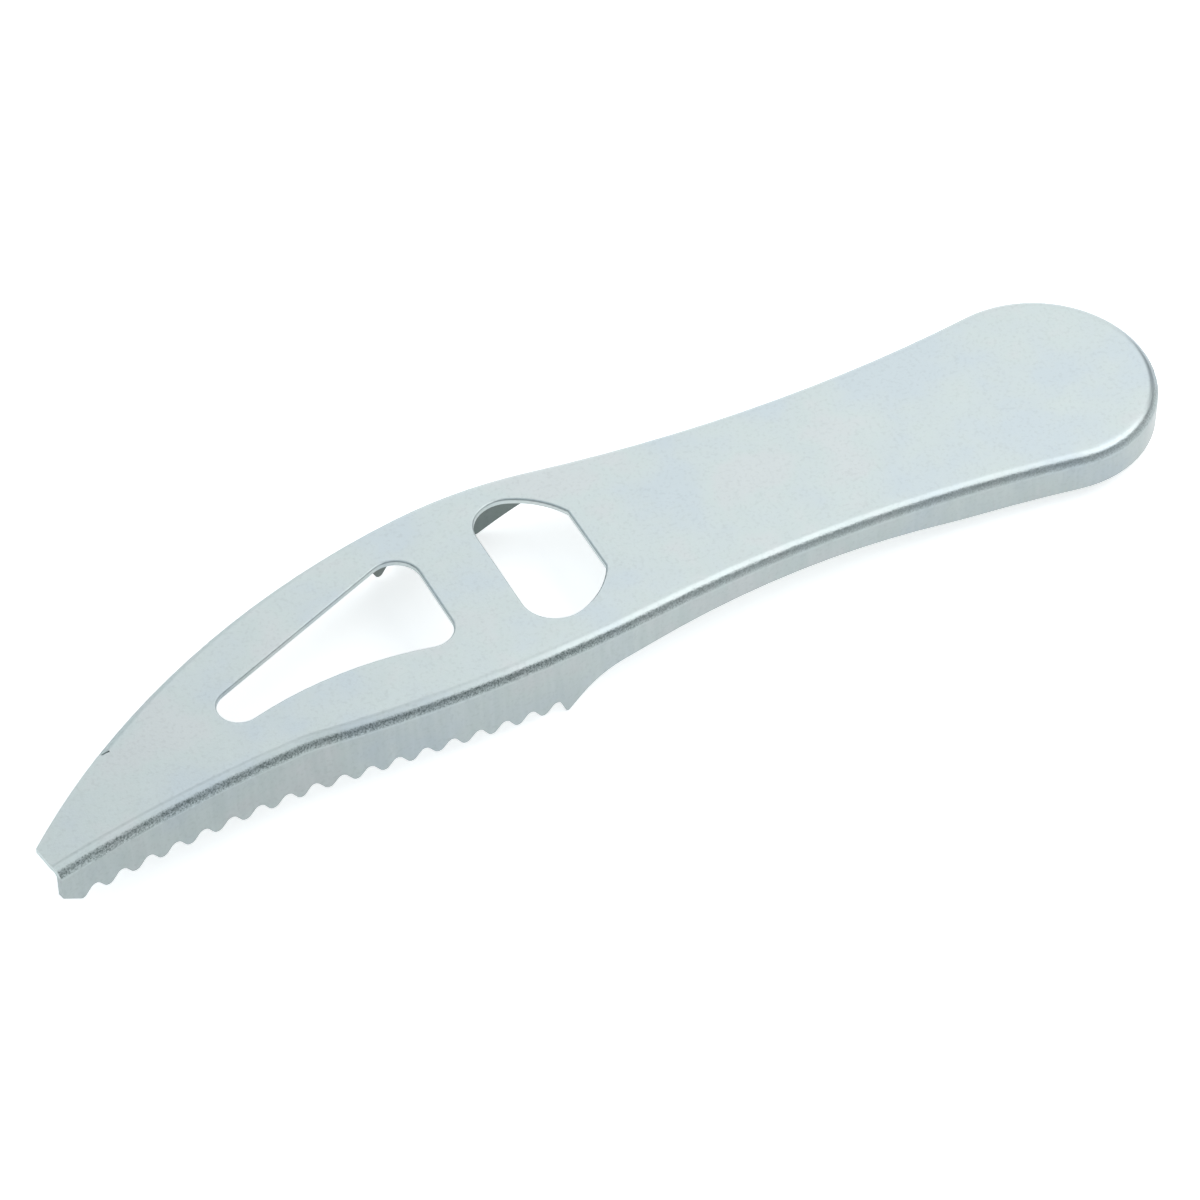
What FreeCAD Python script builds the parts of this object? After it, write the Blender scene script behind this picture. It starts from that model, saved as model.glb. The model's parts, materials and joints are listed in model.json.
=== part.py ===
import FreeCAD, Part
import math
import os

import Sketcher

# Painter's scraper-scaler pressed from one steel sheet, in millimetres.
#
# Drawing frame: X runs along the handle axis from the cut tip to the butt, Y is across the tool,
# Z = 0 is the outer face of the top plate, and the flanges hang below it.
# "Near" is the side at -Y, whose toothed edge runs out to the tip, and "far" is the side at +Y.
# At the end the pressing is set down as it lies on a table: on its two last teeth and its butt
# rim, with the origin on the table under the middle of its bounding box.

DIMENSIONS = {
    # Sheet and bend
    "sheet_thickness": 1.0,
    "outer_bend_radius": 2.1,
    "butt_end_x": 210.0,
    # Plan outline: the handle, the same on both sides of the X axis
    "butt_radius": 20.0,
    "waist_radius": 269.0,
    "waist_centre_x": 145.0,
    # Plan outline: the curved back of the blade, on the far side
    "shoulder_radius": 79.0,
    "back_radius": 148.0,
    "back_centre_x": 103.3,
    "back_centre_y": -126.6,
    # Plan outline: the toothed side of the blade, on the near side
    "belly_radius": 262.0,
    "belly_centre_x": 71.9,
    "kink_radius": 21.0,
    "nose_radius": 242.0,
    "nose_centre_x": 62.2,
    "nose_centre_y": -261.9,
    # Metal left past the tip until the tip is cut off
    "tip_waste": 2.6,
    # Tip, cut off a little out of square, and more so past the bend at the near fold
    "tip_corner_x": 0.42,
    "tip_corner_y": -21.4,
    "tip_bend_x": 1.1,
    "tip_bend_y": -25.4,
    "tip_skew_angle": 20.4,
    # Flat bare edge between the tip's far corner and the end of the far flange, concentric with
    # the blade's back. The drawn fold is cleared from inside its start to past the metal
    "bare_edge_radius": 147.2,
    "strip_inner_radius": 145.6,
    "relief_outer_radius": 158.0,
    "far_flange_start_x": 17.53,
    # Nick between the bare edge and the end of the far flange
    "nick_front_x": 15.4,
    "nick_rear_x": 18.3,
    "nick_low_y": -7.95,
    "nick_high_y": -7.6,
    # How far the outline that trims the tip runs clear of the metal
    "trim_margin": 60.0,
    # Depth of the flanges as drawn, before their lower edges are trimmed, and how far the
    # trimming profiles run past the metal
    "flange_stock_depth": 14.5,
    "edge_margin": 2.0,
    # Lower edge of both flanges behind the teeth, as depths below the outer face of the plate
    "butt_flange_depth": 7.05,
    "near_arch_depth": 5.7,
    "far_arch_depth": 4.9,
    "arch_radius": 300.0,
    "arch_centre_x": 137.0,
    "rim_blend_radius": 60.0,
    # Near flange: bare land at the tip, row of teeth, and the heel behind the last tooth
    "near_land_front_x": 1.2,
    "near_land_angle": 37.4,
    "near_land_corner_radius": 0.35,
    "near_first_crest_x": 5.2,
    "near_first_crest_depth": 8.6,
    "near_middle_crest_x": 44.9,
    "near_middle_crest_depth": 11.35,
    "near_rear_crest_x": 68.6,
    "near_rear_crest_depth": 11.25,
    "near_last_crest_x": 91.7,
    "near_last_crest_depth": 12.75,
    "near_last_tooth_depth": 13.66,
    "near_heel_angle": 43.0,
    "near_heel_radius": 14.0,
    # Far flange: the same, but it ends short of the tip
    "far_first_crest_x": 19.3,
    "far_first_crest_depth": 9.6,
    "far_middle_crest_x": 71.3,
    "far_middle_crest_depth": 10.45,
    "far_rear_crest_x": 76.0,
    "far_rear_crest_depth": 11.35,
    "far_last_crest_x": 94.7,
    "far_last_crest_depth": 11.3,
    "far_last_tooth_depth": 11.2,
    "far_heel_angle": 28.5,
    "far_heel_radius": 4.0,
    # Wavy teeth, evenly spaced before and behind the middle crest of each row
    "tooth_depth": 1.8,
    "tooth_flank_angle": 51.0,
    "last_flank_angle": 63.0,
    "near_front_gullets": 8,
    "near_rear_gullets": 10,
    "far_front_gullets": 12,
    "far_rear_gullets": 5,
    # Punches for the gullets: how far each reaches below its crest line and either way off the
    # wall, how far it laps past its crests and sinks on the way, and how far the first one
    # reaches forwards
    "punch_waste": 6.0,
    "punch_reach": 3.0,
    "punch_lap": 0.4,
    "punch_lap_drop": 0.1,
    "punch_front_margin": 5.0,
    # Crown-cap slot: a circle with two flats
    "slot_radius": 14.9,
    "slot_centre_x": 92.4,
    "slot_centre_y": 0.5,
    "slot_front_x": 89.8,
    "slot_back_x": 105.6,
    "slot_corner_radius": 5.9,
    # Window: a rounded triangle whose near side bows inwards
    "window_front_radius": 3.7,
    "window_front_centre_x": 40.4,
    "window_front_centre_y": -7.8,
    "window_top_radius": 4.5,
    "window_top_centre_y": 5.7,
    "window_low_radius": 4.1,
    "window_low_centre_y": -6.1,
    "window_back_x": 78.1,
    "window_bow_radius": 64.3,
    # Rolled edge that the punch leaves round both openings
    "die_roll_radius": 0.3,
}

# Numbers by which a sketch knows its root point and the points of a curve
ROOT = -1
START = 1
END = 2
CENTRE = 3

# Places closer together than this are the same place
SAME = 1e-4

# A corner looser than this is not a true corner
LOOSEST_CORNER = 0.01

# Rounds of the search for the point of the butt's rim that touches the table
SETTLING_ROUNDS = 20

doc = FreeCAD.newDocument("pressed_scraper")
sheet = doc.addObject("Spreadsheet::Sheet", "dims")
for row, (name, value) in enumerate(DIMENSIONS.items(), start=1):
    sheet.set("A%d" % row, name)
    sheet.set("B%d" % row, "%g" % value)
    sheet.setAlias("B%d" % row, name)
doc.recompute()


def dim(name):
    """A driving dimension, read back from the sheet."""
    return float(sheet.get(name))


def toward(centre, distance, target):
    """The point at a distance from centre, on the way to target."""
    span = FreeCAD.Vector(target) - FreeCAD.Vector(centre)
    return FreeCAD.Vector(centre) + span * (distance / span.Length)


def equidistant(first, first_distance, second, second_distance, side):
    """The point at a distance from each of two centres, left (+1) or right (-1) of their line."""
    span = second - first
    along = (first_distance**2 - second_distance**2 + span.Length**2) / (2 * span.Length)
    across = math.sqrt(first_distance**2 - along**2)
    unit = span / span.Length
    left = FreeCAD.Vector(-unit.y, unit.x, 0)
    return first + unit * along + left * (across * side)


def origin_plane(body, role):
    """One of a body's own origin planes, such as XY_Plane."""
    return next(feature for feature in body.Origin.OriginFeatures if feature.Role == role)


def new_sketch(body, name, role):
    """An empty sketch on one of a body's own planes."""
    sketch = body.newObject("Sketcher::SketchObject", name)
    sketch.AttachmentSupport = [(origin_plane(body, role), "")]
    sketch.MapMode = "FlatFace"
    return sketch


def bind(sketch, kind, geometry, expression):
    """Adds a dimension to a sketch. An expression of the sheet's cells gives its value."""
    value = float(sketch.evalExpression(expression))
    index = sketch.addConstraint(Sketcher.Constraint(kind, *geometry, value))
    sketch.setExpression("Constraints[%d]" % index, expression)


def place_point(sketch, geometry, point, x, y):
    """Binds a curve's point to a place given by two expressions."""
    bind(sketch, "DistanceX", (ROOT, START, geometry, point), x)
    bind(sketch, "DistanceY", (ROOT, START, geometry, point), y)


class Outline:
    """A closed sketch outline, drawn span by span, with smooth joints or corners between them."""

    def __init__(self, sketch, start):
        self.sketch = sketch
        self.start = FreeCAD.Vector(start)
        self.here = FreeCAD.Vector(start)
        self.spans = []

    def line_to(self, point):
        index = self.sketch.addGeometry(Part.LineSegment(self.here, FreeCAD.Vector(point)), False)
        self.spans.append((index, START, END))
        self.here = FreeCAD.Vector(point)
        return index

    def arc_to(self, point, centre, radius_name, left_turn):
        """An arc to point. A left turn goes counter-clockwise. Its radius is bound to a cell."""
        centre = FreeCAD.Vector(centre)
        point = FreeCAD.Vector(point)
        first, last = (self.here, point) if left_turn else (point, self.here)
        circle = Part.Circle(centre, FreeCAD.Vector(0, 0, 1), dim(radius_name))
        angles = [math.atan2(end.y - centre.y, end.x - centre.x) for end in (first, last)]
        index = self.sketch.addGeometry(Part.ArcOfCircle(circle, *angles), False)
        self.spans.append((index, START, END) if left_turn else (index, END, START))
        self.here = point
        bind(self.sketch, "Radius", (index,), "dims." + radius_name)
        return index

    def close(self, corners=()):
        """Joins each span to the next. A span in corners ends at a corner, not smoothly."""
        count = len(self.spans)
        for place, (index, _, last) in enumerate(self.spans):
            following, first, _ = self.spans[(place + 1) % count]
            kind = "Coincident" if index in corners else "Tangent"
            self.sketch.addConstraint(Sketcher.Constraint(kind, index, last, following, first))


def check(feature):
    """Recomputes the document and stops if the feature failed."""
    doc.recompute()
    if "Invalid" in feature.State or "Error" in feature.State:
        raise RuntimeError("%s failed: %s" % (feature.Name, feature.State))
    return feature


# ---------------------------------------------------------------- plan outline

butt_centre = FreeCAD.Vector(dim("butt_end_x") - dim("butt_radius"), 0, 0)
waist_reach = dim("butt_radius") + dim("waist_radius")
waist_centre_y = math.sqrt(waist_reach**2 - (butt_centre.x - dim("waist_centre_x")) ** 2)
far_waist_centre = FreeCAD.Vector(dim("waist_centre_x"), waist_centre_y, 0)
near_waist_centre = FreeCAD.Vector(dim("waist_centre_x"), -waist_centre_y, 0)

back_centre = FreeCAD.Vector(dim("back_centre_x"), dim("back_centre_y"), 0)
shoulder_centre = equidistant(
    back_centre,
    dim("back_radius") - dim("shoulder_radius"),
    far_waist_centre,
    dim("waist_radius") + dim("shoulder_radius"),
    side=1,
)

belly_reach = dim("waist_radius") + dim("belly_radius")
belly_run = dim("waist_centre_x") - dim("belly_centre_x")
belly_centre_y = near_waist_centre.y + math.sqrt(belly_reach**2 - belly_run**2)
belly_centre = FreeCAD.Vector(dim("belly_centre_x"), belly_centre_y, 0)
nose_centre = FreeCAD.Vector(dim("nose_centre_x"), dim("nose_centre_y"), 0)
kink_centre = equidistant(
    nose_centre,
    dim("nose_radius") - dim("kink_radius"),
    belly_centre,
    dim("belly_radius") + dim("kink_radius"),
    side=1,
)


def height_on_circle(centre, radius, x):
    """The top of a circle's rim at x."""
    return centre.y + math.sqrt(radius**2 - (x - centre.x) ** 2)


def draw_plan_outline(sketch):
    """Draws the outer faces of the flanges, counter-clockwise from the near side of the tip."""
    waste_x = -dim("tip_waste")
    near_start = (waste_x, height_on_circle(nose_centre, dim("nose_radius"), waste_x), 0)
    far_end = (waste_x, height_on_circle(back_centre, dim("back_radius"), waste_x), 0)
    kink_start = toward(nose_centre, dim("nose_radius"), kink_centre)
    belly_start = toward(kink_centre, dim("kink_radius"), belly_centre)
    near_waist_start = toward(belly_centre, dim("belly_radius"), near_waist_centre)
    butt_start = toward(near_waist_centre, dim("waist_radius"), butt_centre)
    far_waist_start = toward(butt_centre, dim("butt_radius"), far_waist_centre)
    shoulder_start = toward(far_waist_centre, dim("waist_radius"), shoulder_centre)
    back_start = toward(back_centre, dim("back_radius"), shoulder_centre)

    outline = Outline(sketch, near_start)
    nose = outline.arc_to(kink_start, nose_centre, "nose_radius", False)
    kink = outline.arc_to(belly_start, kink_centre, "kink_radius", False)
    belly = outline.arc_to(near_waist_start, belly_centre, "belly_radius", True)
    near_waist = outline.arc_to(butt_start, near_waist_centre, "waist_radius", False)
    butt = outline.arc_to(far_waist_start, butt_centre, "butt_radius", True)
    far_waist = outline.arc_to(shoulder_start, far_waist_centre, "waist_radius", False)
    shoulder = outline.arc_to(back_start, shoulder_centre, "shoulder_radius", True)
    back = outline.arc_to(far_end, back_centre, "back_radius", True)
    front = outline.line_to(near_start)
    outline.close(corners=(back, front))

    sketch.addConstraint(Sketcher.Constraint("Vertical", front))
    sketch.addConstraint(Sketcher.Constraint("PointOnObject", butt, CENTRE, ROOT))
    for span, expression in (
        (butt, "dims.butt_end_x - dims.butt_radius"),
        (near_waist, "dims.waist_centre_x"),
        (far_waist, "dims.waist_centre_x"),
        (belly, "dims.belly_centre_x"),
    ):
        bind(sketch, "DistanceX", (ROOT, START, span, CENTRE), expression)
    place_point(sketch, nose, CENTRE, "dims.nose_centre_x", "dims.nose_centre_y")
    place_point(sketch, back, CENTRE, "dims.back_centre_x", "dims.back_centre_y")
    bind(sketch, "DistanceX", (ROOT, START, front, START), "-dims.tip_waste")
    return (nose, kink, belly), (shoulder, back)


body = doc.addObject("PartDesign::Body", "pressing")
plan = new_sketch(body, "plan_outline", "XY_Plane")
near_spans, far_spans = draw_plan_outline(plan)
check(plan)

# ---------------------------------------------------------------- drawn shell


def edges_at_height(shape, height):
    """The names of the edges that lie flat at a height."""
    names = []
    for number, edge in enumerate(shape.Edges, start=1):
        points = [vertex.Point for vertex in edge.Vertexes]
        points.append(edge.valueAt((edge.FirstParameter + edge.LastParameter) / 2))
        if all(abs(point.z - height) < SAME for point in points):
            names.append("Edge%d" % number)
    return names


def face_at_height(shape, height):
    """The name of the horizontal face at a height."""
    for number, face in enumerate(shape.Faces, start=1):
        if abs(face.CenterOfMass.z - height) < SAME:
            return "Face%d" % number
    raise RuntimeError("no face at height %g" % height)


stock = body.newObject("PartDesign::Pad", "drawn_block")
stock.Profile = plan
stock.Reversed = True
stock.setExpression("Length", "dims.flange_stock_depth")
check(stock)

outer_bend = body.newObject("PartDesign::Fillet", "outer_bend")
outer_bend.Base = (stock, edges_at_height(stock.Shape, 0))
outer_bend.setExpression("Radius", "dims.outer_bend_radius")
check(outer_bend)

shell = body.newObject("PartDesign::Thickness", "sheet_wall")
shell.Base = (outer_bend, [face_at_height(outer_bend.Shape, -dim("flange_stock_depth"))])
shell.Mode = "Skin"
shell.Join = "Arc"
shell.Reversed = True
shell.setExpression("Value", "dims.sheet_thickness")
check(shell)

# ---------------------------------------------------------------- trimmed tip and openings


def polygon(sketch, corners):
    """A closed outline of straight lines. Each corner is a pair of expressions, bound to its place."""
    places = [[float(sketch.evalExpression(text)) for text in corner] for corner in corners]
    points = [FreeCAD.Vector(x, y, 0) for x, y in places]
    outline = Outline(sketch, points[0])
    lines = [outline.line_to(point) for point in points[1:] + points[:1]]
    outline.close(corners=lines)
    for line, (x, y) in zip(lines, corners):
        place_point(sketch, line, START, x, y)


def pocket_through(body, name, sketch, reversed_way=False, both_ways=True):
    """Cuts a sketch's outline right through, and makes sure that it cut something."""
    before = body.Shape.Volume
    pocket = body.newObject("PartDesign::Pocket", name)
    pocket.Profile = sketch
    pocket.Type = "ThroughAll"
    if both_ways:
        pocket.SideType = "Two sides"
        pocket.Type2 = "ThroughAll"
    pocket.Reversed = reversed_way
    check(pocket)
    if pocket.Shape.Volume >= before:
        raise RuntimeError(name + " removed nothing")
    return pocket


def draw_edge_ring(sketch, outer_radius):
    """A sector of a ring along the bare edge, from past the tip to the end of the far flange."""
    inner = dim("strip_inner_radius")
    outer = dim(outer_radius)
    front_x = -dim("tip_waste") - dim("edge_margin")
    rear_x = dim("far_flange_start_x")
    front_outer = (front_x, height_on_circle(back_centre, outer, front_x), 0)
    front_inner = (front_x, height_on_circle(back_centre, inner, front_x), 0)
    rear_inner = (rear_x, height_on_circle(back_centre, inner, rear_x), 0)

    outline = Outline(sketch, toward(back_centre, outer, rear_inner))
    outer_arc = outline.arc_to(front_outer, back_centre, outer_radius, True)
    front = outline.line_to(front_inner)
    inner_arc = outline.arc_to(rear_inner, back_centre, "strip_inner_radius", False)
    shear = outline.line_to(outline.start)
    outline.close(corners=(outer_arc, front, inner_arc, shear))

    # The far flange is sheared off square to its fold
    sketch.addConstraint(Sketcher.Constraint("PointOnObject", outer_arc, CENTRE, shear))
    sketch.addConstraint(Sketcher.Constraint("Vertical", front))
    sketch.addConstraint(Sketcher.Constraint("Coincident", outer_arc, CENTRE, inner_arc, CENTRE))
    place_point(sketch, outer_arc, CENTRE, "dims.back_centre_x", "dims.back_centre_y")
    bind(sketch, "DistanceX", (ROOT, START, front, START), "-dims.tip_waste - dims.edge_margin")
    bind(sketch, "DistanceX", (ROOT, START, shear, START), "dims.far_flange_start_x")


# There is no fold along the bare edge: what was drawn down there gives way to a flat strip
relief_plan = new_sketch(body, "fold_relief_plan", "XY_Plane")
draw_edge_ring(relief_plan, "relief_outer_radius")
check(relief_plan)
pocket_through(body, "fold_relief", relief_plan)

strip_plan = new_sketch(body, "bare_strip_plan", "XY_Plane")
draw_edge_ring(strip_plan, "bare_edge_radius")
check(strip_plan)
strip = body.newObject("PartDesign::Pad", "bare_strip")
strip.Profile = strip_plan
strip.Reversed = True
strip.setExpression("Length", "dims.sheet_thickness")
check(strip)

# The nick goes no deeper than the fold, so it leaves the flange below it whole
nick_plan = new_sketch(body, "nick_plan", "XY_Plane")
nick_corners = (
    ("dims.nick_front_x", "dims.nick_low_y"),
    ("dims.nick_rear_x", "dims.nick_low_y"),
    ("dims.nick_rear_x", "dims.nick_high_y"),
    ("dims.nick_front_x", "dims.nick_high_y"),
)
polygon(nick_plan, nick_corners)
check(nick_plan)
nick = body.newObject("PartDesign::Pocket", "nick")
nick.Profile = nick_plan
nick.setExpression("Length", "dims.outer_bend_radius")
check(nick)
if nick.Shape.Volume >= strip.Shape.Volume:
    raise RuntimeError("nick removed nothing")

tip_plan = new_sketch(body, "tip_plan", "XY_Plane")
tip_slope = "tan(dims.tip_skew_angle * 1 deg)"
tip_low_x = "dims.tip_bend_x + (dims.trim_margin + dims.tip_bend_y) * " + tip_slope
# The cut across the plate, carried on past the tip's far corner by half as much again
tip_past_x = "2.5 * dims.tip_corner_x - 1.5 * dims.tip_bend_x"
tip_past_y = "2.5 * dims.tip_corner_y - 1.5 * dims.tip_bend_y"
tip_corners = (
    ("-dims.trim_margin", "-dims.trim_margin"),
    (tip_low_x, "-dims.trim_margin"),
    ("dims.tip_bend_x", "dims.tip_bend_y"),
    (tip_past_x, tip_past_y),
    ("-dims.trim_margin", tip_past_y),
)
polygon(tip_plan, tip_corners)
check(tip_plan)
pocket_through(body, "tip_trim", tip_plan)


def draw_slot(sketch):
    """A circle with two flats. The front flat runs into the circle through round corners."""
    centre = FreeCAD.Vector(dim("slot_centre_x"), dim("slot_centre_y"), 0)
    back_half = math.sqrt(dim("slot_radius") ** 2 - (dim("slot_back_x") - centre.x) ** 2)
    corner_x = dim("slot_front_x") + dim("slot_corner_radius")
    corner_reach = dim("slot_radius") - dim("slot_corner_radius")
    corner_half = math.sqrt(corner_reach**2 - (corner_x - centre.x) ** 2)
    far_corner = FreeCAD.Vector(corner_x, centre.y + corner_half, 0)
    near_corner = FreeCAD.Vector(corner_x, centre.y - corner_half, 0)

    far_joint = toward(centre, dim("slot_radius"), far_corner)
    near_joint = toward(centre, dim("slot_radius"), near_corner)

    outline = Outline(sketch, (dim("slot_back_x"), centre.y - back_half, 0))
    back = outline.line_to((dim("slot_back_x"), centre.y + back_half, 0))
    far_end = outline.arc_to(far_joint, centre, "slot_radius", True)
    outline.arc_to((dim("slot_front_x"), far_corner.y, 0), far_corner, "slot_corner_radius", True)
    front = outline.line_to((dim("slot_front_x"), near_corner.y, 0))
    outline.arc_to(near_joint, near_corner, "slot_corner_radius", True)
    near_end = outline.arc_to(outline.start, centre, "slot_radius", True)
    outline.close(corners=(back, near_end))

    sketch.addConstraint(Sketcher.Constraint("Vertical", back))
    sketch.addConstraint(Sketcher.Constraint("Vertical", front))
    sketch.addConstraint(Sketcher.Constraint("Coincident", far_end, CENTRE, near_end, CENTRE))
    place_point(sketch, far_end, CENTRE, "dims.slot_centre_x", "dims.slot_centre_y")
    bind(sketch, "DistanceX", (ROOT, START, back, START), "dims.slot_back_x")
    bind(sketch, "DistanceX", (ROOT, START, front, START), "dims.slot_front_x")


def draw_window(sketch):
    """A triangle with three round corners, a bowed near side and a back side square to the axis."""
    front = FreeCAD.Vector(dim("window_front_centre_x"), dim("window_front_centre_y"), 0)
    top_x = dim("window_back_x") - dim("window_top_radius")
    low_x = dim("window_back_x") - dim("window_low_radius")
    top = FreeCAD.Vector(top_x, dim("window_top_centre_y"), 0)
    low = FreeCAD.Vector(low_x, dim("window_low_centre_y"), 0)
    bow = equidistant(
        front,
        dim("window_bow_radius") + dim("window_front_radius"),
        low,
        dim("window_bow_radius") + dim("window_low_radius"),
        side=-1,
    )
    # The slanted side touches the front and the top corner from outside. Both touch it in the
    # same direction, which leans from square by the difference of the two radii
    span = top - front
    lean = math.asin((dim("window_top_radius") - dim("window_front_radius")) / span.Length)
    direction = math.atan2(span.y, span.x) + math.pi / 2 + lean
    outward = FreeCAD.Vector(math.cos(direction), math.sin(direction), 0)

    outline = Outline(sketch, (dim("window_back_x"), low.y, 0))
    back = outline.line_to((dim("window_back_x"), top.y, 0))
    slant_start = top + outward * dim("window_top_radius")
    top_corner = outline.arc_to(slant_start, top, "window_top_radius", True)
    outline.line_to(front + outward * dim("window_front_radius"))
    bow_start = toward(front, dim("window_front_radius"), bow)
    front_end = outline.arc_to(bow_start, front, "window_front_radius", True)
    outline.arc_to(toward(low, dim("window_low_radius"), bow), bow, "window_bow_radius", False)
    low_corner = outline.arc_to(outline.start, low, "window_low_radius", True)
    outline.close()

    sketch.addConstraint(Sketcher.Constraint("Vertical", back))
    front_place = ("dims.window_front_centre_x", "dims.window_front_centre_y")
    place_point(sketch, front_end, CENTRE, *front_place)
    bind(sketch, "DistanceY", (ROOT, START, top_corner, CENTRE), "dims.window_top_centre_y")
    bind(sketch, "DistanceY", (ROOT, START, low_corner, CENTRE), "dims.window_low_centre_y")
    bind(sketch, "DistanceX", (ROOT, START, back, START), "dims.window_back_x")


def rim_edges(shape, sketch):
    """The names of the top edges that follow a sketch's outline."""
    middles = [edge.CenterOfMass for edge in sketch.Shape.Edges]
    names = []
    for name in edges_at_height(shape, 0):
        middle = shape.getElement(name).CenterOfMass
        if min(middle.distanceToPoint(place) for place in middles) < SAME:
            names.append(name)
    return names


for name, draw in (("cap_slot", draw_slot), ("window", draw_window)):
    opening = new_sketch(body, name + "_plan", "XY_Plane")
    draw(opening)
    check(opening)
    hole = pocket_through(body, name, opening)
    die_roll = body.newObject("PartDesign::Fillet", name + "_die_roll")
    die_roll.Base = (hole, rim_edges(hole.Shape, opening))
    die_roll.setExpression("Radius", "dims.die_roll_radius")
    check(die_roll)

# ---------------------------------------------------------------- lower edges of the flanges

BELOW_STOCK = "-dims.flange_stock_depth - dims.edge_margin"
NEAR_CORNER_X = "dims.near_land_front_x + dims.near_land_corner_radius"


def draw_rear_edge(sketch, side):
    """What is cut away below a flange, from the flat end of its last tooth to past the butt."""
    slope = math.radians(dim(side + "_heel_angle"))
    heel_radius = dim(side + "_heel_radius")
    tooth_end = FreeCAD.Vector(dim(side + "_last_crest_x"), -dim(side + "_last_tooth_depth"), 0)
    tooth_front = tooth_end - FreeCAD.Vector(dim("edge_margin"), 0, 0)
    uphill = FreeCAD.Vector(math.cos(slope), math.sin(slope), 0)
    downwards = FreeCAD.Vector(math.sin(slope), -math.cos(slope), 0)
    arch_y = -dim(side + "_arch_depth") - dim("arch_radius")
    arch = FreeCAD.Vector(dim("arch_centre_x"), arch_y, 0)
    # The heel arc touches the slanted line from below and the arch circle from inside
    abreast = tooth_end + downwards * heel_radius
    offset = abreast - arch
    nearest = -offset.dot(uphill)
    heel_reach = dim("arch_radius") - heel_radius
    climb = nearest + math.sqrt(nearest**2 - offset.Length**2 + heel_reach**2)
    heel = abreast + uphill * climb
    # The rim blend touches the level edge from above and the arch circle from outside
    rim_y = dim("rim_blend_radius") - dim("butt_flange_depth")
    rim_reach = dim("arch_radius") + dim("rim_blend_radius")
    rim = FreeCAD.Vector(arch.x + math.sqrt(rim_reach**2 - (rim_y - arch.y) ** 2), rim_y, 0)
    past_butt = dim("butt_end_x") + dim("edge_margin")
    bottom_y = -dim("flange_stock_depth") - dim("edge_margin")

    outline = Outline(sketch, tooth_front)
    flat = outline.line_to(tooth_end)
    slant = outline.line_to(tooth_end + uphill * climb)
    outline.arc_to(toward(arch, dim("arch_radius"), heel), heel, side + "_heel_radius", False)
    arched = outline.arc_to(toward(arch, dim("arch_radius"), rim), arch, "arch_radius", False)
    outline.arc_to((rim.x, -dim("butt_flange_depth"), 0), rim, "rim_blend_radius", True)
    level = outline.line_to((past_butt, -dim("butt_flange_depth"), 0))
    rear = outline.line_to((past_butt, bottom_y, 0))
    bottom = outline.line_to((tooth_front.x, bottom_y, 0))
    front = outline.line_to(tooth_front)
    outline.close(corners=(flat, level, rear, bottom, front))

    crest = "dims.%s_last_crest_x" % side
    tooth = "-dims.%s_last_tooth_depth" % side
    for kind, line in (
        ("Horizontal", level),
        ("Vertical", rear),
        ("Horizontal", bottom),
        ("Vertical", front),
    ):
        sketch.addConstraint(Sketcher.Constraint(kind, line))
    place_point(sketch, flat, START, crest + " - dims.edge_margin", tooth)
    place_point(sketch, slant, START, crest, tooth)
    arch_place = ("dims.arch_centre_x", "-dims.%s_arch_depth - dims.arch_radius" % side)
    place_point(sketch, arched, CENTRE, *arch_place)
    level_end = ("dims.butt_end_x + dims.edge_margin", "-dims.butt_flange_depth")
    place_point(sketch, level, END, *level_end)
    bind(sketch, "DistanceY", (ROOT, START, bottom, START), BELOW_STOCK)
    angle = sketch.addConstraint(Sketcher.Constraint("Angle", slant, slope))
    sketch.setExpression("Constraints[%d]" % angle, "dims.%s_heel_angle * 1 deg" % side)


def cut_lower_edge(name, draw, *details):
    """Cuts a profile drawn on the handle's middle plane through the flange on one side."""
    profile = new_sketch(body, name + "_profile", "XZ_Plane")
    draw(profile, *details)
    check(profile)
    pocket_through(body, name, profile, name.startswith("near"), both_ways=False)


def draw_tip_land(sketch):
    """What is cut away below the near flange, from past the tip to its first tooth."""
    slope = math.radians(dim("near_land_angle"))
    crest = FreeCAD.Vector(dim("near_first_crest_x"), -dim("near_first_crest_depth"), 0)
    radius = dim("near_land_corner_radius")
    front_x = dim("near_land_front_x")
    centre_x = front_x + radius
    rise = (crest.x - centre_x) * math.tan(slope) + radius / math.cos(slope)
    centre = FreeCAD.Vector(centre_x, crest.y + rise, 0)
    land_end = centre - FreeCAD.Vector(math.sin(slope), math.cos(slope), 0) * radius
    past_tip = -dim("tip_waste") - dim("edge_margin")
    bottom_y = -dim("flange_stock_depth") - dim("edge_margin")

    outline = Outline(sketch, crest)
    land = outline.line_to(land_end)
    corner = outline.arc_to((front_x, centre.y, 0), centre, "near_land_corner_radius", False)
    top = outline.line_to((past_tip, centre.y, 0))
    front = outline.line_to((past_tip, bottom_y, 0))
    bottom = outline.line_to((crest.x, bottom_y, 0))
    rear = outline.line_to(crest)
    outline.close(corners=(corner, top, front, bottom, rear))

    for kind, line in (
        ("Horizontal", top),
        ("Vertical", front),
        ("Horizontal", bottom),
        ("Vertical", rear),
    ):
        sketch.addConstraint(Sketcher.Constraint(kind, line))
    place_point(sketch, land, START, "dims.near_first_crest_x", "-dims.near_first_crest_depth")
    bind(sketch, "DistanceX", (ROOT, START, corner, CENTRE), NEAR_CORNER_X)
    sketch.addConstraint(Sketcher.Constraint("Horizontal", corner, START, corner, CENTRE))
    bind(sketch, "DistanceX", (ROOT, START, front, START), "-dims.tip_waste - dims.edge_margin")
    bind(sketch, "DistanceY", (ROOT, START, bottom, START), BELOW_STOCK)
    angle = sketch.addConstraint(Sketcher.Constraint("Angle", land, math.pi - slope))
    sketch.setExpression("Constraints[%d]" % angle, "180 deg - dims.near_land_angle * 1 deg")


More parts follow.
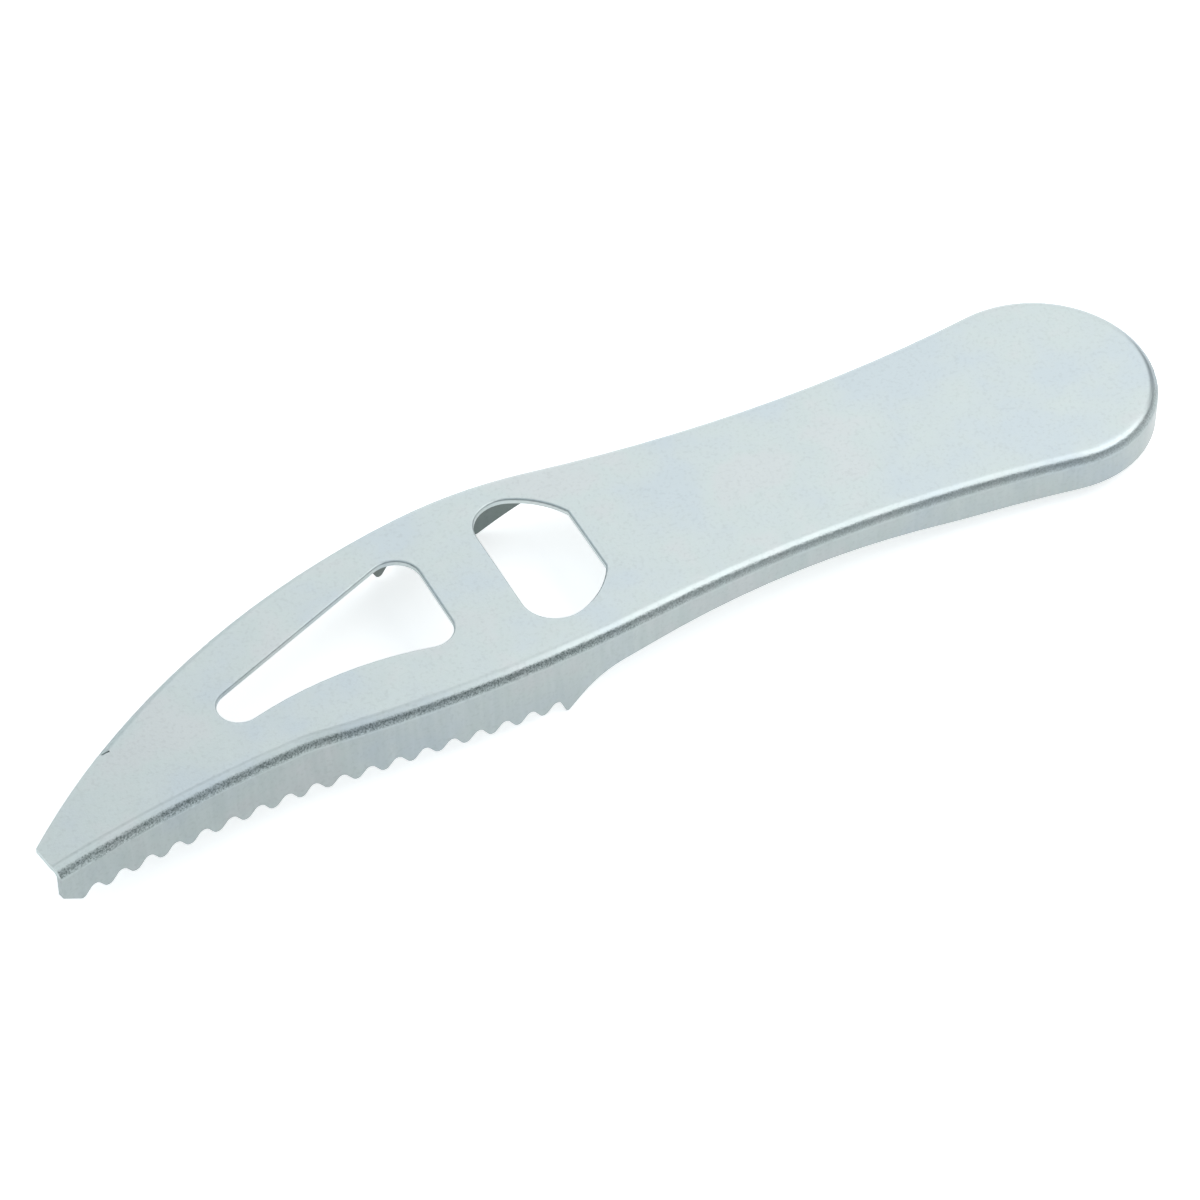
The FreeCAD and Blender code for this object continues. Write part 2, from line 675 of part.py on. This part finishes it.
cut_lower_edge("near_rear_edge", draw_rear_edge, "near")
cut_lower_edge("far_rear_edge", draw_rear_edge, "far")
cut_lower_edge("near_tip_land", draw_tip_land)

# ---------------------------------------------------------------- wavy teeth


def outline_stations(side, spans):
    """Places of one side's crests, evenly spaced along the plan outline either way of the middle."""
    chain = Part.Wire(Part.sortEdges([plan.Geometry[span].toShape() for span in spans])[0])
    margin = dim("trim_margin")
    stations = []
    for front, rear, row in (("first", "middle", "front"), ("middle", "last", "rear")):
        front_x = dim("%s_%s_crest_x" % (side, front))
        length = dim("%s_%s_crest_x" % (side, rear)) - front_x
        slab = Part.makeBox(length, 2 * margin, 2, FreeCAD.Vector(front_x, -margin, -1))
        stretch = Part.Wire(Part.sortEdges(chain.common(slab).Edges)[0])
        points = stretch.discretize(Number=int(dim("%s_%s_gullets" % (side, row))) + 1)
        # The middle crest ends one stretch and starts the next, so it is put in only once
        stations[-1:] = sorted(points, key=lambda point: point.x)
    return stations


def crest_depth(side, x):
    """Depth of the line through the tooth crests at x."""
    stations = [
        (dim("%s_%s_crest_x" % (side, place)), dim("%s_%s_crest_depth" % (side, place)))
        for place in ("first", "middle", "rear", "last")
    ]
    for (x0, depth0), (x1, depth1) in zip(stations, stations[1:]):
        if x <= x1:
            return depth0 + (depth1 - depth0) * (x - x0) / (x1 - x0)
    return stations[-1][1]


def gullet_outline(pitch, first, last):
    """One gullet of the wave from crest to crest, with the waste below it and its middle at X = 0.

    Crests and gullet are arcs of one radius, joined by straight flanks. The flank behind the last
    gullet is steeper and runs on down, which leaves the last tooth pointed.
    """
    half = pitch / 2
    depth = dim("tooth_depth")
    slope = math.radians(dim("tooth_flank_angle"))
    last_slope = math.radians(dim("last_flank_angle"))
    flank = depth / math.tan(slope / 2) - half
    radius = (half - flank * math.cos(slope)) / (2 * math.sin(slope))

    def along_arc(angle):
        """How far an arc runs, and how far it rises, by the time it has turned through an angle."""
        return radius * math.sin(angle), radius * (1 - math.cos(angle))

    run, rise = along_arc(slope)
    half_run, half_rise = along_arc(slope / 2)
    last_run, last_rise = along_arc(last_slope)
    gullet_end = (last_run, depth - last_rise) if last else (run, depth - rise)
    waste_y = -dim("punch_waste")
    lap_x = half + dim("punch_lap")
    lap_y = -dim("punch_lap_drop")
    front = (-half - dim("punch_front_margin"), 0) if first else (-lap_x, lap_y)

    arcs = [
        ((-half, 0), (half_run - half, half_rise), (run - half, rise)),
        ((-run, depth - rise), (0, depth), gullet_end),
    ]
    lines = [((run - half, rise), (-run, depth - rise))]
    corners = [(-half, 0), front, (front[0], waste_y)]
    if last:
        corners.append((last_run + (gullet_end[1] - waste_y) / math.tan(last_slope), waste_y))
        corners.append(gullet_end)
    else:
        arcs.append(((half - run, rise), (half - half_run, half_rise), (half, 0)))
        lines.append((gullet_end, (half - run, rise)))
        corners.extend([(lap_x, waste_y), (lap_x, lap_y), (half, 0)])
    edges = [Part.Arc(*[FreeCAD.Vector(x, y, 0) for x, y in arc]).toShape() for arc in arcs]
    for (x0, y0), (x1, y1) in lines + list(zip(corners, corners[1:])):
        edges.append(Part.makeLine((x0, y0, 0), (x1, y1, 0)))
    return Part.Wire(Part.sortEdges(edges)[0])


def gullet_punches(side, spans):
    """The punches of one side, each square to the flange where it cuts."""
    stations = outline_stations(side, spans)
    crests = [FreeCAD.Vector(point.x, point.y, -crest_depth(side, point.x)) for point in stations]
    up = FreeCAD.Vector(0, 0, 1)
    reach = dim("punch_reach")
    punches = []
    for front, rear in zip(crests, crests[1:]):
        along = (rear - front).normalize()
        pitch = (rear - front).Length
        outline = gullet_outline(pitch, front is crests[0], rear is crests[-1])
        punch = Part.Face(outline).extrude(up * 2 * reach)
        turn = FreeCAD.Rotation(along, up, along.cross(up), "XYZ")
        punch.Placement = FreeCAD.Placement((front + rear) / 2 - along.cross(up) * reach, turn)
        punches.append(punch)
    return punches


# Each punch has its own place and turn, because the rows of teeth follow the curved outline.
# Neighbouring punches meet at a crest, so every other gullet is cut first, and then the rest
near_punches = gullet_punches("near", near_spans)
far_punches = gullet_punches("far", far_spans)
pressing = body
for name, picked in (("odd_gullets", slice(0, None, 2)), ("even_gullets", slice(1, None, 2))):
    punches = doc.addObject("Part::Feature", name + "_punches")
    punches.Shape = Part.makeCompound(near_punches[picked] + far_punches[picked])
    cut = doc.addObject("Part::Cut", name)
    cut.Base = pressing
    cut.Tool = punches
    pressing = check(cut)
pressing.Label = "pressed_steel_body"

# ---------------------------------------------------------------- how the tool rests


def tooth_tip(shape, side):
    """The outer corner of the flat end of a side's last tooth, at its rear."""
    x = dim(side + "_last_crest_x")
    depth = dim(side + "_last_tooth_depth")
    level = [vertex.Point for vertex in shape.Vertexes if abs(vertex.Z + depth) < SAME]
    return max(
        (point for point in level if abs(point.x - x) < dim("edge_margin")),
        key=lambda point: point.y if side == "far" else -point.y,
    )


def table_normal(shape):
    """The upward normal of the table that touches both last teeth and the butt's lower rim."""
    near_tooth = tooth_tip(shape, "near")
    far_tooth = tooth_tip(shape, "far")
    rim_centre = butt_centre - FreeCAD.Vector(0, 0, dim("butt_flange_depth"))
    touch = rim_centre
    for _ in range(SETTLING_ROUNDS):
        normal = (touch - near_tooth).cross(far_tooth - near_tooth).normalize()
        downhill = FreeCAD.Vector(-normal.x, -normal.y, 0).normalize()
        touch = rim_centre + downhill * dim("butt_radius")
    return normal


normal = table_normal(pressing.Shape)
forward = FreeCAD.Vector(1, 0, 0)
ahead = forward - normal * forward.dot(normal)
turn = FreeCAD.Rotation(ahead, normal.cross(ahead), normal, "ZXY").inverted()
pressing.Placement = FreeCAD.Placement(FreeCAD.Vector(), turn)
check(pressing)
box = pressing.Shape.optimalBoundingBox()
pressing.Placement = FreeCAD.Placement(
    FreeCAD.Vector(-box.Center.x, -box.Center.y, -box.ZMin), turn
)
check(pressing)

# ---------------------------------------------------------------- checks and export

for feature in doc.Objects:
    if "Invalid" in feature.State or "Error" in feature.State:
        raise RuntimeError("%s failed: %s" % (feature.Name, feature.State))
if pressing.Shape.isNull() or not pressing.Shape.isValid() or len(pressing.Shape.Solids) != 1:
    raise RuntimeError("the pressing is not one valid solid")
if max(vertex.Tolerance for vertex in pressing.Shape.Vertexes) > LOOSEST_CORNER:
    raise RuntimeError("the pressing has a corner that doesn't close")

os.makedirs("parts", exist_ok=True)
pressing.Shape.exportStep("parts/%s.step" % pressing.Label)
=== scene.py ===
import json
import math

import bpy
from mathutils import Matrix, Vector

# Looks of the pressed steel scraper. Everything is in metres, in the frame of the CAD part.

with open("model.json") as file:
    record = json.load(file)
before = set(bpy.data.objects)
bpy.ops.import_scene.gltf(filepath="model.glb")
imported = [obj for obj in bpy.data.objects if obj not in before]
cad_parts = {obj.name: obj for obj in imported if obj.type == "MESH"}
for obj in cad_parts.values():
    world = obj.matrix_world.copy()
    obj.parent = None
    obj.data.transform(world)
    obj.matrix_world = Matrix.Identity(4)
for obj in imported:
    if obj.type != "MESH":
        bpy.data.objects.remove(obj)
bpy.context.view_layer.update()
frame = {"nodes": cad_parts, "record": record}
tool = frame["nodes"]["pressed_steel_body"]
record = frame["record"]

# ---------------------------------------------------------------- the plate's own frame

# The tool lies a little tilted. These are the directions along its handle, across it and square
# to its top plate, with lengths counted from the cut tip.
plate_mount = next(mount for mount in record["mounts"] if mount["name"] == "top_plate")
PLATE_MOUNT_X = 0.150
up = Vector(plate_mount["axis"]).normalized()
ahead = (Vector((1, 0, 0)) - up * up.x).normalized()
left = up.cross(ahead)


def on_plate(x, y, z):
    """A point given along, across and above the top plate, in the frame of the CAD part."""
    return Vector(plate_mount["pos_m"]) + ahead * (x - PLATE_MOUNT_X) + left * y + up * z


# ---------------------------------------------------------------- materials


class Shader:
    """A small helper that adds and links the nodes of one material."""

    def __init__(self, name):
        self.material = bpy.data.materials.new(name)
        self.material.use_nodes = True
        self.nodes = self.material.node_tree.nodes
        self.links = self.material.node_tree.links
        self.bsdf = self.nodes["Principled BSDF"]
        coordinates = self.nodes.new("ShaderNodeTexCoord")
        self.place = coordinates.outputs["Object"]
        self.direction = coordinates.outputs["Normal"]

    def node(self, kind, values=(), **settings):
        node = self.nodes.new(kind)
        for key, value in settings.items():
            setattr(node, key, value)
        for key, value in dict(values).items():
            if isinstance(value, bpy.types.NodeSocket):
                self.links.new(value, node.inputs[key])
            else:
                node.inputs[key].default_value = value
        return node

    def noise(self, scale, detail=2.0, roughness=0.5, stretch=(1, 1, 1), shift=(0, 0, 0)):
        """Noise from 0 to 1. Scale is in cells per metre."""
        mapping = self.node(
            "ShaderNodeMapping", {"Vector": self.place, "Scale": stretch, "Location": shift}
        )
        texture = self.node(
            "ShaderNodeTexNoise",
            {
                "Vector": mapping.outputs["Vector"],
                "Scale": scale,
                "Detail": detail,
                "Roughness": roughness,
            },
        )
        return texture.outputs["Fac"]

    def ramp(self, value, stops):
        node = self.node("ShaderNodeValToRGB", {"Fac": value})
        elements = node.color_ramp.elements
        while len(elements) < len(stops):
            elements.new(0.5)
        for element, (position, colour) in zip(elements, stops):
            element.position = position
            element.color = (*colour, 1)
        return node.outputs["Color"]

    def math(self, operation, first, second, kind="ShaderNodeMath"):
        node = self.node(kind, {0: first, 1: second}, operation=operation)
        return node.outputs["Value"]

    def product(self, first, second):
        return self.math("MULTIPLY", first, second)

    def dot(self, first, second):
        """The dot product of a vector socket and a fixed vector."""
        kind = "ShaderNodeVectorMath"
        return self.math("DOT_PRODUCT", first, tuple(second), kind=kind)

    def fade(self, value, none, full):
        """Goes smoothly from 0 where the value is none to 1 where it is full."""
        low, high = min(none, full), max(none, full)
        node = self.node(
            "ShaderNodeMapRange",
            {
                "Value": value,
                "From Min": low,
                "From Max": high,
                "To Min": 0.0 if none < full else 1.0,
                "To Max": 1.0 if none < full else 0.0,
            },
            interpolation_type="SMOOTHSTEP",
        )
        return node.outputs["Result"]

    def remap(self, value, low, high):
        node = self.node("ShaderNodeMapRange", {"Value": value, "To Min": low, "To Max": high})
        return node.outputs["Result"]

    def mix(self, kind, factor, first, second):
        node = self.nodes.new("ShaderNodeMix")
        node.data_type = "RGBA"
        node.blend_type = kind
        for index, value in ((0, factor), (6, first), (7, second)):
            if isinstance(value, bpy.types.NodeSocket):
                self.links.new(value, node.inputs[index])
            else:
                node.inputs[index].default_value = value
        return node.outputs[2]


def zinc_material():
    """Satin zinc plating on steel: pale, with faint tints, painted shade on its flanges and inside
    faces, and a painted dark band with coarse grain along the fold.
    """
    shader = Shader("zinc_plating")

    # 1 on faces that look along the plate's upward normal, 0 on the upright flanges
    facing = shader.dot(shader.direction, up)
    # Metres below the plate's outer face, and metres back from the tip
    tip_on_axis = on_plate(0, 0, 0)
    height = shader.dot(shader.place, up)
    depth = shader.math("SUBTRACT", up.dot(tip_on_axis), height)
    reach = shader.dot(shader.place, ahead)
    back_from_tip = shader.math("SUBTRACT", reach, ahead.dot(tip_on_axis))

    tint = shader.ramp(
        shader.noise(70, detail=3, roughness=0.55),
        (
            (0.36, (0.545, 0.610, 0.634)),
            (0.46, (0.560, 0.620, 0.624)),
            (0.54, (0.564, 0.626, 0.619)),
            (0.64, (0.582, 0.622, 0.622)),
        ),
    )
    specks = shader.ramp(shader.noise(1600, detail=2), ((0.30, (0.93,) * 3), (0.48, (1, 1, 1))))
    colour = shader.mix("MULTIPLY", 1.0, tint, specks)

    # Painted shade: the flanges' base colour is darkened below the plate's, standing in for the
    # shaded floor they reflect; the faint upright marks down their sides are texture
    below_fold = shader.fade(depth, 0.0012, 0.0021)
    flank_shade_mask = shader.product(shader.fade(facing, 0.25, 0.02), below_fold)
    marks = shader.noise(900, detail=3, stretch=(1, 1, 0.06))
    flank_shade_and_marks = shader.ramp(marks, ((0.30, (0.70, 0.71, 0.71)), (0.70, (0.76, 0.76, 0.76))))
    colour = shader.mix("MULTIPLY", flank_shade_mask, colour, flank_shade_and_marks)

    # Painted shade: inside faces, where the flanges' walls look towards the middle of the tool, are
    # darkened in their base colour
    outward = shader.product(shader.dot(shader.place, left), shader.dot(shader.direction, left))
    inside_shade_mask = shader.product(shader.fade(outward, 0.0, -0.001), below_fold)
    colour = shader.mix("MULTIPLY", inside_shade_mask, colour, (0.42, 0.45, 0.43, 1))

    # Painted shade along the fold: a dark band in the base colour stands in for the dark reflection
    # there, broken into speckle by the coarse grain, with a ragged edge
    grain = shader.noise(3400, detail=2, roughness=0.7)
    ragged = shader.math("ADD", facing, shader.remap(grain, -0.20, 0.20))
    painted_shade_band = shader.product(shader.fade(ragged, 0.88, 0.66), shader.fade(ragged, 0.06, 0.30))
    painted_shade_band = shader.product(painted_shade_band, shader.fade(depth, 0.0002, 0.0006))
    # The painted dark band and its speckle are fainter along the handle
    eased = shader.product(shader.fade(back_from_tip, 0.085, 0.135), 0.5)
    painted_shade_band = shader.product(painted_shade_band, shader.math("SUBTRACT", 1.0, eased))
    shade_band_speckle = shader.ramp(grain, ((0.36, (0.36, 0.39, 0.38)), (0.62, (0.96, 0.97, 0.97))))
    colour = shader.mix("MULTIPLY", painted_shade_band, colour, shade_band_speckle)

    shader.links.new(colour, shader.bsdf.inputs["Base Color"])
    shader.bsdf.inputs["Metallic"].default_value = 1.0
    # The fold is rougher than the plate, and most of all towards the tip
    roughness = shader.remap(shader.noise(260, detail=4, roughness=0.6), 0.27, 0.36)
    near_tip = shader.fade(back_from_tip, 0.110, 0.030)
    stretched = shader.product(shader.fade(facing, 0.995, 0.93), near_tip)
    stretched = shader.product(stretched, 0.20)
    opened = shader.product(shader.fade(facing, 0.80, 0.55), shader.fade(facing, 0.0, 0.2))
    opened = shader.product(opened, 0.22)
    roughness = shader.math("ADD", roughness, shader.math("MAXIMUM", stretched, opened))
    shader.links.new(roughness, shader.bsdf.inputs["Roughness"])
    fine_bump = shader.node(
        "ShaderNodeBump",
        {
            "Height": shader.noise(2600, detail=3, roughness=0.65),
            "Strength": 0.25,
            "Distance": 0.00006,
        },
    )
    # The grain stands out a little above the dark band too, where the fold starts
    pebbled = shader.product(shader.fade(ragged, 0.99, 0.80), shader.fade(ragged, 0.06, 0.30))
    pebbled = shader.product(pebbled, shader.fade(depth, 0.0001, 0.0004))
    fold_bump = shader.node(
        "ShaderNodeBump",
        {
            "Height": shader.product(grain, pebbled),
            "Normal": fine_bump.outputs["Normal"],
            "Strength": 0.6,
            "Distance": 0.0001,
        },
    )
    shader.links.new(fold_bump.outputs["Normal"], shader.bsdf.inputs["Normal"])
    return shader.material


tool.data.materials.clear()
tool.data.materials.append(zinc_material())

# ---------------------------------------------------------------- floor


def floor_material():
    shader = Shader("pale_floor")
    shader.bsdf.inputs["Base Color"].default_value = (0.90, 0.90, 0.90, 1)
    shader.bsdf.inputs["Roughness"].default_value = 0.9
    shader.bsdf.inputs["Emission Color"].default_value = (1, 1, 1, 1)
    shader.bsdf.inputs["Emission Strength"].default_value = 0.6
    return shader.material


bpy.ops.mesh.primitive_plane_add(size=6, location=(0, 0, 0))
floor = bpy.context.object
floor.name = "floor"
floor.data.materials.append(floor_material())

# ---------------------------------------------------------------- camera

# The camera looks down at the plate from in front of the tip, on the toothed side
CAMERA_ELEVATION = math.radians(46.0)
CAMERA_TURN = math.radians(26.6)
CAMERA_DISTANCE = 0.8008
aim = on_plate(0.1012, -0.01304, 0)
toward_camera = (
    ahead * (-math.sin(CAMERA_TURN) * math.cos(CAMERA_ELEVATION))
    + left * (-math.cos(CAMERA_TURN) * math.cos(CAMERA_ELEVATION))
    + up * math.sin(CAMERA_ELEVATION)
)
camera_data = bpy.data.cameras.new("camera")
camera_data.lens = 150
camera_data.sensor_width = 36
camera = bpy.data.objects.new("camera", camera_data)
bpy.context.scene.collection.objects.link(camera)
right = up.cross(toward_camera).normalized()
turn = Matrix((right, toward_camera.cross(right), toward_camera)).transposed().to_4x4()
camera.matrix_world = Matrix.Translation(aim + toward_camera * CAMERA_DISTANCE) @ turn
bpy.context.scene.camera = camera

# ---------------------------------------------------------------- lights


world = bpy.data.worlds.new("studio")
world.use_nodes = True
background = world.node_tree.nodes["Background"]
background.inputs["Color"].default_value = (0.85, 0.94, 1.0, 1)
background.inputs["Strength"].default_value = 0.3
bpy.context.scene.world = world

COOL_WHITE = (0.82, 0.93, 1.0)


def panel(name, place, target, width, height, radiance, colour=(1, 1, 1)):
    """A soft light given by its radiance, so that its size doesn't change how bright it looks."""
    data = bpy.data.lights.new(name, "AREA")
    data.shape = "RECTANGLE"
    data.size = width
    data.size_y = height
    data.energy = math.pi * radiance * width * height
    data.color = colour
    lamp = bpy.data.objects.new(name, data)
    bpy.context.scene.collection.objects.link(lamp)
    lamp.location = place
    lamp.rotation_euler = (Vector(target) - Vector(place)).to_track_quat("-Z", "Y").to_euler()


panel("overhead_softbox", (1.37, -0.3, 1.4), (1.37, -0.3, 0), 1.9, 1.4, 1.7)
panel("overhead_back_softbox", (1.37, 0.8, 1.4), (1.37, 0.8, 0), 1.9, 0.8, 1.0)
panel("back_softbox", (1.2, 1.8, 1.0), (1.2, 0.0, 0.6), 2.4, 2.0, 0.9)
panel("back_left_softbox", (-1.2, 1.8, 1.0), (-0.6, 0.0, 0.4), 2.2, 2.0, 0.62, COOL_WHITE)
panel("overhead_left_softbox", (-0.6, 0.0, 1.5), (-0.6, 0, 0), 1.4, 1.9, 0.6, COOL_WHITE)

bpy.context.scene.view_settings.view_transform = "Standard"
